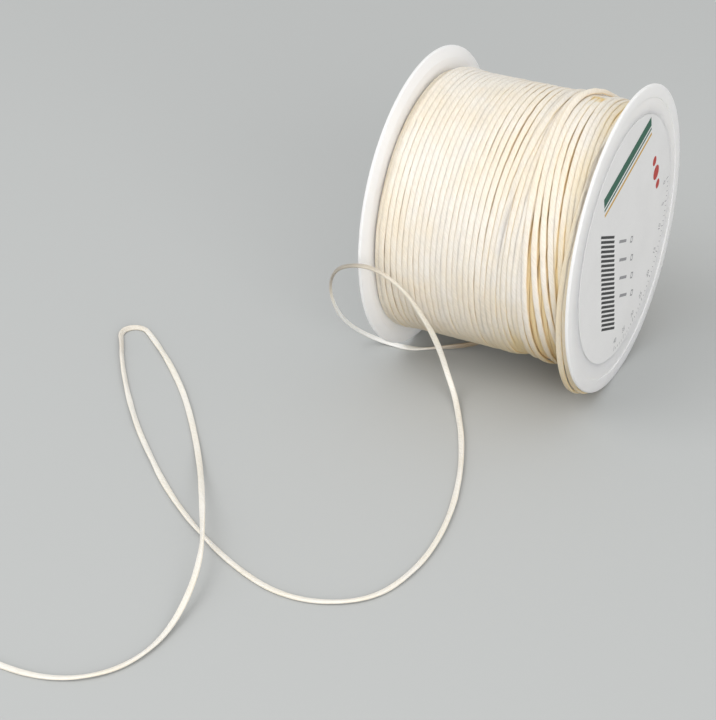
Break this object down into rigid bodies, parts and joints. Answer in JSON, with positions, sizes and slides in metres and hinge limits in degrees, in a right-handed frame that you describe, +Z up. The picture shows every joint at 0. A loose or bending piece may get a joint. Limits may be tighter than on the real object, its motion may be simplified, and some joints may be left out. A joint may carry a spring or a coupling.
{
  "type": "waxed cord spool",
  "caption": "Spool of waxed twisted cord: two white moulded flanges on a hollow core, a paper label on the front flange, and a loose cord end lying in curves on the floor.",
  "frame": {"origin": "on the floor below the middle of the spool, midway between the outer faces of the flanges, with the loose cord left out of the box", "axes": "+X along the spool's axis towards the labelled front flange, +Z up, -Y towards the side where the loose cord lies"},
  "size_m": [0.1437, 0.2388, 0.09],
  "materials": {
    "flange_plastic": "white moulded polystyrene, satin",
    "core_board": "spirally wound brown board",
    "start_tape": "creped masking tape",
    "cord": "twisted ivory cord, lightly waxed",
    "label_paper": "smooth white printed paper"
  },
  "bodies": {
    "root": {"rear_flange": "flange_plastic", "front_flange": "flange_plastic", "core_tube": "core_board", "start_tape": "start_tape", "inner_winding": "cord", "rear_turns": "cord", "front_turns": "cord", "front_label": "label_paper", "free_cord": "cord"}
  },
  "joints": []
}
